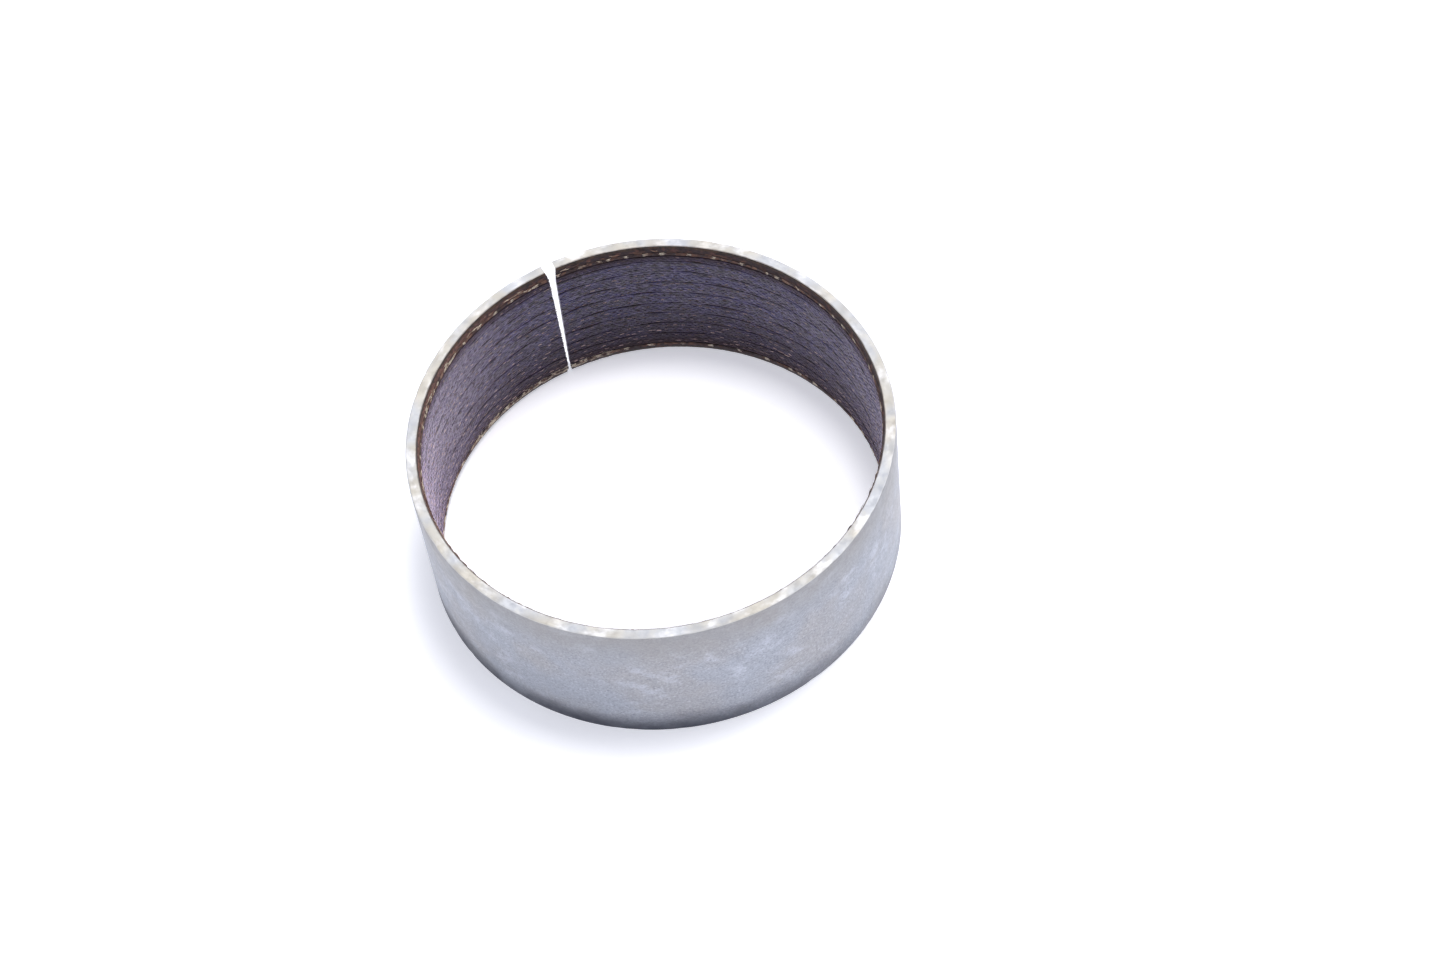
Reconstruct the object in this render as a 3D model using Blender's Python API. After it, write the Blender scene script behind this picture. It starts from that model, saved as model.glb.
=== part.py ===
"""Split sleeve bushing: a rolled steel backing with a thin woven liner bonded in its bore.

Units are metres and +Z is up. The bushing stands on its lower end face, with its axis on Z
and its split, which narrows downwards, facing +Y. The layers of the liner nest inside the backing.
"""

import math

import bmesh
import bpy
from mathutils import Matrix

# Overall sizes of the bushing
OUTER_DIAMETER = 0.053975
BORE_DIAMETER = 0.0508
LENGTH = 0.01905

# The split: its gap across the outside at either end, and how far the strip's corners are cut back there
SPLIT_GAP_LOWER = 0.00026
SPLIT_GAP_UPPER = 0.00096
SPLIT_CORNER_CUT = 0.00022

# Thickness of each layer of the liner, from the steel towards the bore
BOND_THICKNESS = 0.00006
CLOTH_THICKNESS = 0.00010
YARN_THICKNESS = 0.00016
SEAT_GAP = 0.00002

# Ends of the sleeve: rounded outer corner, broken inner corner and the bevel cut through the liner
OUTER_CORNER_RADIUS = 0.00022
INNER_CORNER_BREAK = 0.00008
LINER_SETBACK = 0.00015
LINER_BEVEL_LENGTH = 0.00066

# Yarns of the liner
SURFACE_YARN_COUNT = 17
EDGE_YARN_WIDTH = 0.00060
YARN_SIDE_GAP = 0.00006

# Facets: steps round the sleeve, points across a yarn's dome and along a rounded corner
ROUND_STEPS = 56
DOME_POINTS = 5
CORNER_POINTS = 4
SHARP_ANGLE = math.radians(35)

# Radii that follow from the sizes above
OUTER_RADIUS = OUTER_DIAMETER / 2
BORE_RADIUS = BORE_DIAMETER / 2
YARN_SEAT_RADIUS = BORE_RADIUS + YARN_THICKNESS
CLOTH_INNER_RADIUS = YARN_SEAT_RADIUS + SEAT_GAP
CLOTH_OUTER_RADIUS = CLOTH_INNER_RADIUS + CLOTH_THICKNESS
BOND_INNER_RADIUS = CLOTH_OUTER_RADIUS + SEAT_GAP
BOND_OUTER_RADIUS = BOND_INNER_RADIUS + BOND_THICKNESS
STEEL_INNER_RADIUS = BOND_OUTER_RADIUS + SEAT_GAP

# Heights that follow: the yarns share the length between the two bevels
FIRST_YARN_HEIGHT = LINER_SETBACK + LINER_BEVEL_LENGTH
EDGE_YARN_CENTRE = FIRST_YARN_HEIGHT + EDGE_YARN_WIDTH / 2
SURFACE_START = FIRST_YARN_HEIGHT + EDGE_YARN_WIDTH + YARN_SIDE_GAP
SURFACE_YARN_PITCH = (LENGTH - 2 * SURFACE_START + YARN_SIDE_GAP) / SURFACE_YARN_COUNT
SURFACE_YARN_WIDTH = SURFACE_YARN_PITCH - YARN_SIDE_GAP

# The strip's corners are cut back as far from its ends as the liner's bevel reaches
CORNER_CUT_HEIGHT = FIRST_YARN_HEIGHT
SPLIT_DIRECTION = math.pi / 2


def clear_scene():
    for obj in list(bpy.data.objects):
        bpy.data.objects.remove(obj)


def make_material(name, colour, roughness, metallic):
    material = bpy.data.materials.new(name)
    material.use_nodes = True
    shader = material.node_tree.nodes["Principled BSDF"]
    shader.inputs["Base Color"].default_value = (*colour, 1.0)
    shader.inputs["Roughness"].default_value = roughness
    shader.inputs["Metallic"].default_value = metallic
    return material


def split_half_angle(height):
    """Half the split's angle at a height: its gap narrows evenly from the upper end to the lower one."""
    gap = SPLIT_GAP_LOWER + (SPLIT_GAP_UPPER - SPLIT_GAP_LOWER) * height / LENGTH
    return math.asin(gap / 2 / OUTER_RADIUS)


def corner_cut_angle(height):
    """How far the strip's end is cut back at a height, which is only near its corners."""
    from_corner = min(height, LENGTH - height)
    return SPLIT_CORNER_CUT / OUTER_RADIUS * max(0.0, 1 - from_corner / CORNER_CUT_HEIGHT)


def fit_to_split(shape, rolled_half_angle):
    """Slides a rolled strip's points round the axis until its two ends follow the split."""
    rolled_turn = math.tau - 2 * rolled_half_angle
    for vertex in shape.verts:
        x, y, height = vertex.co
        turn = (math.atan2(y, x) - SPLIT_DIRECTION) % math.tau
        share = (turn - rolled_half_angle) / rolled_turn
        half_angle = split_half_angle(height)
        fitted = half_angle + (math.tau - 2 * half_angle) * share
        step = round(share * ROUND_STEPS)
        if step == 0:
            fitted += corner_cut_angle(height)
        if step == ROUND_STEPS:
            fitted -= corner_cut_angle(height)
        vertex.co = Matrix.Rotation(fitted - turn, 3, "Z") @ vertex.co


def rolled_mesh(name, profile, material):
    """A strip rolled round Z: an outline of (radius, height) points, spun from end to end of the split."""
    mesh = bpy.data.meshes.new(name)
    shape = bmesh.new()
    rolled_half_angle = split_half_angle(LENGTH / 2)
    start = SPLIT_DIRECTION + rolled_half_angle
    corners = [
        shape.verts.new((radius * math.cos(start), radius * math.sin(start), height))
        for radius, height in profile
    ]
    end_face = shape.faces.new(corners)
    bmesh.ops.spin(
        shape,
        geom=[end_face, *end_face.edges, *end_face.verts],
        cent=(0, 0, 0),
        axis=(0, 0, 1),
        angle=math.tau - 2 * rolled_half_angle,
        steps=ROUND_STEPS,
    )
    fit_to_split(shape, rolled_half_angle)
    bmesh.ops.recalc_face_normals(shape, faces=shape.faces)
    shape.to_mesh(mesh)
    shape.free()
    mesh.materials.append(material)
    mesh.shade_smooth()
    mesh.set_sharp_from_angle(angle=SHARP_ANGLE)
    return mesh


def add_piece(name, mesh, parent):
    piece = bpy.data.objects.new(name, mesh)
    piece.parent = parent
    bpy.context.scene.collection.objects.link(piece)


def corner_arc(centre_radius, centre_height, first_angle):
    """A quarter round of the outer corner, as (radius, height) points."""
    return [
        (
            centre_radius + OUTER_CORNER_RADIUS * math.cos(first_angle + turn),
            centre_height + OUTER_CORNER_RADIUS * math.sin(first_angle + turn),
        )
        for turn in (math.pi / 2 * i / (CORNER_POINTS - 1) for i in range(CORNER_POINTS))
    ]


def backing_profile():
    """The steel strip's section: rounded outer corners, small breaks on the inner ones."""
    round_centre = OUTER_RADIUS - OUTER_CORNER_RADIUS
    lower = corner_arc(round_centre, OUTER_CORNER_RADIUS, -math.pi / 2)
    upper = corner_arc(round_centre, LENGTH - OUTER_CORNER_RADIUS, 0.0)
    outer = [(OUTER_RADIUS, CORNER_CUT_HEIGHT), (OUTER_RADIUS, LENGTH - CORNER_CUT_HEIGHT)]
    inner = [
        (STEEL_INNER_RADIUS + INNER_CORNER_BREAK, LENGTH),
        (STEEL_INNER_RADIUS, LENGTH - INNER_CORNER_BREAK),
        (STEEL_INNER_RADIUS, LENGTH - CORNER_CUT_HEIGHT),
        (STEEL_INNER_RADIUS, CORNER_CUT_HEIGHT),
        (STEEL_INNER_RADIUS, INNER_CORNER_BREAK),
        (STEEL_INNER_RADIUS + INNER_CORNER_BREAK, 0.0),
    ]
    return lower + outer + upper + inner


def bevel_height(radius):
    """Height of the liner's lower bevel at a radius: it rises from the steel towards the bore."""
    share = (STEEL_INNER_RADIUS - radius) / (STEEL_INNER_RADIUS - BORE_RADIUS)
    return LINER_SETBACK + LINER_BEVEL_LENGTH * share


def layer_profile(inner_radius, outer_radius):
    """A flat layer of the liner whose two ends are cut to the bevel."""
    return [
        (outer_radius, bevel_height(outer_radius)),
        (outer_radius, CORNER_CUT_HEIGHT),
        (outer_radius, LENGTH - CORNER_CUT_HEIGHT),
        (outer_radius, LENGTH - bevel_height(outer_radius)),
        (inner_radius, LENGTH - bevel_height(inner_radius)),
        (inner_radius, LENGTH - CORNER_CUT_HEIGHT),
        (inner_radius, CORNER_CUT_HEIGHT),
        (inner_radius, bevel_height(inner_radius)),
    ]


def yarn_profile(width, centre):
    """A yarn flattened against the cloth: half an ellipse that bulges into the bore, about a height."""
    turns = [math.pi * i / (DOME_POINTS - 1) for i in range(DOME_POINTS)]
    return [
        (YARN_SEAT_RADIUS - YARN_THICKNESS * math.sin(turn), centre + width / 2 * math.cos(turn))
        for turn in turns
    ]


def build_backing(parent):
    plated_steel = make_material("plated_steel", colour=(0.50, 0.54, 0.58), roughness=0.42, metallic=0.9)
    add_piece("steel_backing", rolled_mesh("steel_backing", backing_profile(), plated_steel), parent)


def build_liner_layers(parent):
    resin = make_material("bond_resin", colour=(0.09, 0.055, 0.035), roughness=0.55, metallic=0.0)
    cloth = make_material("ground_cloth", colour=(0.16, 0.11, 0.10), roughness=0.8, metallic=0.0)
    bond_profile = layer_profile(BOND_INNER_RADIUS, BOND_OUTER_RADIUS)
    cloth_profile = layer_profile(CLOTH_INNER_RADIUS, CLOTH_OUTER_RADIUS)
    add_piece("bond_film", rolled_mesh("bond_film", bond_profile, resin), parent)
    add_piece("liner_ground_cloth", rolled_mesh("liner_ground_cloth", cloth_profile, cloth), parent)


def build_surface_yarns(parent):
    yarn = make_material("surface_yarn", colour=(0.20, 0.17, 0.25), roughness=0.6, metallic=0.0)
    for i in range(SURFACE_YARN_COUNT):
        name = f"surface_yarn_{i + 1:02d}"
        centre = SURFACE_START + SURFACE_YARN_WIDTH / 2 + i * SURFACE_YARN_PITCH
        add_piece(name, rolled_mesh(name, yarn_profile(SURFACE_YARN_WIDTH, centre), yarn), parent)


def build_edge_yarns(parent):
    yarn = make_material("edge_yarn", colour=(0.45, 0.33, 0.20), roughness=0.7, metallic=0.0)
    centres = {"edge_yarn_lower": EDGE_YARN_CENTRE, "edge_yarn_upper": LENGTH - EDGE_YARN_CENTRE}
    for name, centre in centres.items():
        add_piece(name, rolled_mesh(name, yarn_profile(EDGE_YARN_WIDTH, centre), yarn), parent)


def main():
    clear_scene()
    bushing = bpy.data.objects.new("bushing", None)
    bpy.context.scene.collection.objects.link(bushing)
    build_backing(bushing)
    build_liner_layers(bushing)
    build_surface_yarns(bushing)
    build_edge_yarns(bushing)


main()
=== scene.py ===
"""Looks of the split sleeve bushing: plated steel backing, resin bond and woven liner on a white floor.

Lengths are metres in the frame's own axes: the bore along Z, the split towards +Y. Radii, heights and
the split's edges are read from the frame's nodes. A place on the rolled strip is how far it lies along
the strip, its radius and its height. The strip map of each mesh holds how far its corners lie along and
across the strip, in millimetres. Colours are linear red, green and blue.
"""

import bisect
import collections
import math
import random

import bpy
from mathutils import Matrix, Vector, noise


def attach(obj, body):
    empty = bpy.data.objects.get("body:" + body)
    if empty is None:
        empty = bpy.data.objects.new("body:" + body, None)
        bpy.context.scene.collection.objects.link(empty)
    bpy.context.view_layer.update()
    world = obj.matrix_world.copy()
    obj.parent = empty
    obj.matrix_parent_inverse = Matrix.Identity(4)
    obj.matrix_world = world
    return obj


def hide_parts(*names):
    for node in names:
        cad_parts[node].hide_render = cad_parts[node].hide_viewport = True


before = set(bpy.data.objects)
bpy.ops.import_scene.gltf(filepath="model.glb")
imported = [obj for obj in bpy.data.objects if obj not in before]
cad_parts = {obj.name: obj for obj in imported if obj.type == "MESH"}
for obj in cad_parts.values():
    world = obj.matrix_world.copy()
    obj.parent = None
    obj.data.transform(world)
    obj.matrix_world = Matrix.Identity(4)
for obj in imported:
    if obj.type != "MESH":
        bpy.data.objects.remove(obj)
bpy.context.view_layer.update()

BODY = "root"
MM = 0.001
SEED = 20
SMOOTH_ANGLE = math.radians(50)
UP = (0.0, 0.0, 1.0)
FLAT = (1.0, 1.0, 0.0)

# Camera: its aim, side, distance and lean
AIM_POINT = Vector((0.00868, 0.00263, 0.0))
CAMERA_AZIMUTH = math.radians(-20.77)
CAMERA_ELEVATION = math.radians(54.9)
CAMERA_ROLL = math.radians(-7.69)
CAMERA_DISTANCE = 0.3485
CAMERA_LENS = 75.03
CAMERA_CLIP_START = 0.01
SENSOR_WIDTH = 36.0

# Stage: a floor that glows where it is seen, the sky, and how far away the lamps stand
FLOOR_SIZE = 3.0
FLOOR_DROP = 0.00002
FLOOR_COLOUR = (0.88, 0.885, 0.92)
FLOOR_GLOW_COLOUR = (0.93, 0.94, 1.0)
FLOOR_GLOW = 0.47
SKY_COLOUR = (0.84, 0.87, 1.0)
SKY_STRENGTH = 0.34
LAMP_DISTANCE = 1.0

# Noise along the strip: its gain, the step between rows, and the first row of each thing that uses it
NOISE_GAIN = 1.8
NOISE_ROW_STEP = 7.3
NOISE_PLANE = 0.5
WANDER_ROW = 30
RESIN_ROW = 31
CLOTH_ROW = 41
CORE_ROW = 51
STRAND_ROW = 100
FULLNESS_ROW = 200

# Steel backing: facets, rounding, and how far its outer wall waves inwards
STEEL_STEPS = 480
STEEL_WALL_ROWS = 9
STEEL_CORNER_POINTS = 6
STEEL_CORNER = 0.00022
STEEL_INNER_BREAK = 0.00008
STEEL_WAVE_DEPTH = 0.000025
STEEL_WAVE_SIZE = 0.006

# Nicks in its outer corners, most of them in the upper one. Each reaches a few half lengths.
NICK_COUNT = 46
NICK_UPPER_SHARE = 0.75
NICK_DEPTH = 0.00009
NICK_STRENGTH = (0.3, 1.0)
NICK_HALF_LENGTH = (0.00018, 0.0006)
NICK_REACH = 3

# Grime and painted shade along the lower edge: how high it reaches, how unevenly, and on which side the
# most, where the shade is deepest
GRIME_AND_SHADE_HEIGHT = 0.0042
GRIME_AND_SHADE_UNEVENNESS = 0.0007
GRIME_AND_SHADE_SIDE = (-0.94, -0.34, 0.0)

# Darker band under the rim: how far below the rim it sets in, and where it is full
DARK_BAND_UNDER_RIM = (0.0070, 0.0003)

# Cosines between which a surface turns from lying across a direction to facing it
FACING_SPAN = (0.50, 0.92)

# The liner's most worn side, where it also carries painted sheen: its direction, the cosines between
# which wear and sheen set in, and its middle as a share of the strip's length
WORN_AND_SHEEN_SIDE = (-0.97, 0.24, 0.0)
WORN_AND_SHEEN_SPAN = (0.25, 0.98)
WORN_AND_SHEEN_PLACE = 0.2

# Resin that rises to the rim and smears onto it, and ragged ends of the resin and the cloth
RESIN_SHY_OF_RIM = 0.00003
RESIN_RAGGEDNESS = 0.00005
RESIN_SMEAR = 0.00014
CLOTH_RAGGEDNESS = 0.00012
RAG_SIZE = 0.0008

# Distances from the sleeve's ends between which the cloth gets worn and the yarns get stained
CLOTH_WORN_SPAN = (0.0016, 0.0010)
YARN_STAIN_SPAN = (0.0030, 0.0015)

# Shares of the sleeve's length between which the yarns darken downwards, partly stained and partly
# painted shade, and above which they are glossy
YARN_DARK_SPAN = (0.06, 0.66)
YARN_GLOSSY_ABOVE = 0.7

# Weave: rows of three strands, which are thinner where they dip between their floats and darker there
# with painted shade
STRANDS_PER_ROW = 3
FLOAT_LENGTH = 0.00078
FLOAT_JITTER = 0.2
FLOAT_TONE = (0.1, 1.0)
STEPS_PER_FLOAT = 5
DIP_THICKNESS = 0.6
DIP_PAINTED_SHADE = 0.4
FULLNESS_SWING = 0.10
TWIST_ANGLE = math.radians(24)
ROW_CLEARANCE = 0.000005
ROW_WANDER = 0.00010
STRAND_WANDER = 0.00003
WANDER_SIZE = 0.0030
ROUNDING_POINTS = 3

# Grooves: depth as a share of the yarn's thickness, width of the rounding, darkness of the painted shade
# on the yarn beside them, and gap. Every second one between rows is deep, and those between rows come and
# go.
Groove = collections.namedtuple("Groove", "height depth width stain gap")
DEEP_GROOVE = Groove(height=0.0, depth=0.9, width=0.00012, stain=0.95, gap=0.00022)
SHALLOW_GROOVE = Groove(height=0.0, depth=0.4, width=0.00012, stain=0.55, gap=0.00002)
STRAND_GROOVE = Groove(height=0.0, depth=0.20, width=0.00010, stain=0.10, gap=0.0)
GROOVE_FADE = 0.0027
GROOVE_SHALLOWEST = 0.3

# Short strands: the share of an arch that is left out at either end, and how they thin there
ARCH_POINTS = 5
ARCH_MARGIN = 0.1
TAPER_MARGIN = 0.06
TAPER_POWER = 0.6

# Stitches of the ground cloth that come up in the dips, and where between a row's two sides they do
STITCH_FIBRES = 2
STITCH_POINTS = 4
STITCH_LENGTH = (0.00055, 0.00110)
STITCH_HALF_WIDTH = 0.00005
STITCH_HALF_DEPTH = 0.000035
STITCH_PLACE = (0.2, 0.8)
STITCH_SPREAD = 0.00004
STITCH_RISE = (0.72, 0.82)
STITCH_TONE = (0.7, 1.0)
STITCH_FAINTEST = 0.06

# Towards the upper end stitches get fainter, rarer and shorter. On the worn side they fade less, with
# wear and painted sheen.
STITCH_FADE = 0.5
STITCH_RARITY = 2.8
STITCH_STRETCH = (1.3, 0.8)
STITCH_WORN_AND_SHEEN = 0.55

# Edge yarns: their sunken core, in shares of the yarn's thickness and width, and how it sways
CORE_STEPS = 700
CORE_RISE = 0.35
CORE_HALF_DEPTH = 0.30
CORE_HALF_WIDTH = 0.36
CORE_SWAY = 0.10
CORE_SWAY_SIZE = 0.003
CORE_SHADE = 0.06

# Dashes of fibres that come up over the core, some dry and bright, the rest soaked
DRY_SPACING = {"edge_yarn_lower": (0.0006, 0.0040), "edge_yarn_upper": (0.0009, 0.0036)}
DRY_SHADE = (0.75, 1.3)
SOAKED_SPACING = (0.0005, 0.0013)
SOAKED_SHADE = (0.06, 0.50)
DASH_LENGTH = (0.0006, 0.0016)
DASH_FILL = 0.80
DASH_SIDE_ROOM = 4
DASH_REACH = (0.6, 1.0)
DASH_SHIFT = 0.2
DASH_RISE = (0.55, 0.65)
FIBRES_PER_DASH = (6, 9)
FIBRE_RADIUS = (0.00004, 0.00006)
FIBRE_WIDENING = 1.3
FIBRE_FLATTENING = 0.8
FIBRE_TONE = (0.8, 1.0)

# Spacing as a multiple of what is drawn: the most, and how much less it is on the worn side
SPACING_MOST = 1.2
DASH_CROWDING = 0.5
TUFT_CROWDING = 0.6

# Frayed tufts: close together on the lower edge to either side of the split, sparse on the upper bevel
FRAY_REACH = (0.015, 0.006)
FRAY_SHADE = (1.5, 1.0)
FRAY_SLANT = 0.7
FRAY_ABOVE_CLOTH_END = 0.0004
FRAY_BELOW_YARN_TOP = 0.0001
TUFT_SPACING = (0.0004, 0.0010)
FIBRES_PER_TUFT = (7, 12)
SPARSE_SPACING = (0.0007, 0.0024)
SPARSE_SHADE = (0.2, 0.8)
SPARSE_SLANT = 0.2
SPARSE_DEPTH = 0.0004
SPARSE_UNWORN = 0.35
SPARSE_WORN = 0.9
FIBRES_PER_SPARSE_TUFT = (2, 4)
FRAY_RADIUS = 0.00005
FRAY_FLATTENING = 0.6
FRAY_LENGTH = (0.0004, 0.0010)
FRAY_RISE = (0.3, 0.6)
FRAY_TONE = (0.6, 1.0)

# Fibres that stand out of the liner's cut end: heights as shares of its length, reach as a share of half
# the split
CUT_END_COUNT = 46
CUT_END_HEIGHT = (0.08, 0.92)
CUT_END_REACH = (0.15, 0.5)
CUT_END_TURN = 0.00012
CUT_END_ROOT = 0.00006
CUT_END_RADIUS = 0.00004
CUT_END_SHADE = (0.1, 0.8)

# Colours of the steel's wall, its end faces, and its sheared edges with their painted highlight
PLATE_WARM = (0.40, 0.40, 0.425)
PLATE_BLUISH = (0.39, 0.415, 0.475)
PLATE_DULL = (0.31, 0.325, 0.37)
PLATE_SCUFF = (0.66, 0.70, 0.80)
PLATE_DARK_GRAIN = (0.20, 0.21, 0.24)
PLATE_BRIGHT_GRAIN = (0.67, 0.69, 0.745)
PLATE_UNDER_RIM = (0.325, 0.316, 0.310)
PLATE_GRIME_AND_SHADE = (0.045, 0.05, 0.075)
RIM_CREAM = (0.63, 0.607, 0.568)
RIM_BLUISH = (0.613, 0.63, 0.675)
RIM_WORN = (0.45, 0.433, 0.405)
RIM_BRIGHT = (0.85, 0.85, 0.88)
RIM_SMEAR = (0.16, 0.085, 0.055)
# Sheared steel, bright when bare but painted near white: a painted highlight on the edges and on the
# split's shaded faces
SHEARED_STEEL_PAINTED_HIGHLIGHT = (0.97, 0.97, 0.98)

# Colours of the liner
RESIN_DARK = (0.028, 0.018, 0.015)
RESIN_BROWN = (0.13, 0.072, 0.044)
CLOTH_DARK = (0.022, 0.014, 0.019)
CLOTH_BROWN = (0.080, 0.050, 0.054)
CLOTH_STAIN = (0.175, 0.082, 0.068)
CLOTH_WORN = (0.34, 0.175, 0.14)
YARN_DEEP = (0.010, 0.006, 0.014)
YARN_SLATE = (0.095, 0.070, 0.195)
YARN_BLUE = (0.046, 0.040, 0.190)
YARN_DARK_SPECK = (0.006, 0.003, 0.007)
YARN_LIGHT_SPECK = (0.190, 0.145, 0.330)
YARN_FIBRE = (0.150, 0.105, 0.200)
YARN_BARED_AND_SHEEN = (0.28, 0.225, 0.32)
YARN_LOW_STAIN_AND_SHADE = (0.024, 0.009, 0.016)
YARN_STAIN = (0.050, 0.028, 0.026)
YARN_SHEEN = (0.86, 0.60, 1.0)
STITCH_SOAKED = (0.075, 0.045, 0.055)
STITCH_PINK = (0.84, 0.60, 0.56)
STITCH_FIBRE = (0.34, 0.18, 0.17)
EDGE_DARK = (0.046, 0.027, 0.030)
EDGE_BROWN = (0.27, 0.140, 0.100)
EDGE_CREAM = (0.90, 0.78, 0.62)


# Sizes from the frame


def ring_sizes(node):
    """Inner radius, outer radius, lowest and highest point of a ring node, from its corners."""
    corners = [vertex.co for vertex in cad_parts[node].data.vertices]
    radii = [math.hypot(corner.x, corner.y) for corner in corners]
    heights = [corner.z for corner in corners]
    return min(radii), max(radii), min(heights), max(heights)


def split_edge():
    """(height, half the split's angle) up the split, from the steel's corners nearest to it."""
    nearest = {}
    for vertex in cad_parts["steel_backing"].data.vertices:
        height = round(vertex.co.z, 6)
        angle = abs(math.atan2(vertex.co.x, vertex.co.y))
        nearest[height] = min(angle, nearest.get(height, math.pi))
    return sorted(nearest.items())


STEEL_INNER, STEEL_OUTER, _, LENGTH = ring_sizes("steel_backing")
FILM_INNER, FILM_OUTER, FILM_LOW, FILM_HIGH = ring_sizes("bond_film")
CLOTH_INNER, CLOTH_OUTER, CLOTH_LOW, CLOTH_HIGH = ring_sizes("liner_ground_cloth")
BORE, YARN_SEAT, _, _ = ring_sizes("surface_yarn_01")
YARN_THICKNESS = YARN_SEAT - BORE
SPLIT_EDGE = split_edge()
SURFACE_YARNS = sorted(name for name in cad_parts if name.startswith("surface_yarn_"))
EDGE_YARNS = ("edge_yarn_lower", "edge_yarn_upper")


def groove_heights():
    """Heights of the lines between the rows of surface yarn, and of the outermost rows' outer sides."""
    spans = [ring_sizes(name)[2:] for name in SURFACE_YARNS]
    between_rows = [(here[1] + there[0]) / 2 for here, there in zip(spans, spans[1:])]
    return [spans[0][0], *between_rows, spans[-1][1]]


def bevel_inner_end():
    """How far from either end the cloth's bevel meets its inner face."""
    corners = [vertex.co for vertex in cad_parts["liner_ground_cloth"].data.vertices]
    middle = (CLOTH_INNER + CLOTH_OUTER) / 2
    return min(corner.z for corner in corners if math.hypot(corner.x, corner.y) < middle)


GROOVE_HEIGHTS = groove_heights()
BEVEL_INNER_END = bevel_inner_end()


def half_split(height):
    """Half the split's angle at a height."""
    for (low, first), (high, second) in zip(SPLIT_EDGE, SPLIT_EDGE[1:]):
        if height <= high:
            share = max(0.0, (height - low) / (high - low))
            return first + (second - first) * share
    return SPLIT_EDGE[-1][1]


STRIP_LENGTH = BORE * (math.tau - 2 * half_split(LENGTH / 2))


def on_strip(along, radius, height):
    """The point at a place on the rolled strip."""
    half = half_split(height)
    angle = math.pi / 2 + half + (math.tau - 2 * half) * along / STRIP_LENGTH
    return (radius * math.cos(angle), radius * math.sin(angle), height)


def stations(steps):
    return [STRIP_LENGTH * i / steps for i in range(steps + 1)]


def ripple(along, row, size):
    """Smooth noise from -1 to 1 along the strip, different for each row."""
    wave = NOISE_GAIN * noise.noise(Vector((along / size, NOISE_ROW_STEP * row, NOISE_PLANE)))
    return min(max(wave, -1.0), 1.0)


def wear_and_sheen_at(along):
    """1 in the middle of the side where the liner is the most worn and carries painted sheen, and 0
    across from it.
    """
    return 0.5 + 0.5 * math.cos(math.tau * (along / STRIP_LENGTH - WORN_AND_SHEEN_PLACE))


def next_place(along, spacing, crowding, draw):
    """The next place along, which is closer on the worn side."""
    return along + draw.uniform(*spacing) * (SPACING_MOST - crowding * wear_and_sheen_at(along))


# Meshes


def distances_round(outline):
    """Distance along a closed outline to each of its points, and back to the first."""
    distances = [0.0]
    for here, there in zip(outline, outline[1:] + outline[:1]):
        distances.append(distances[-1] + math.dist(here, there))
    return distances


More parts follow.
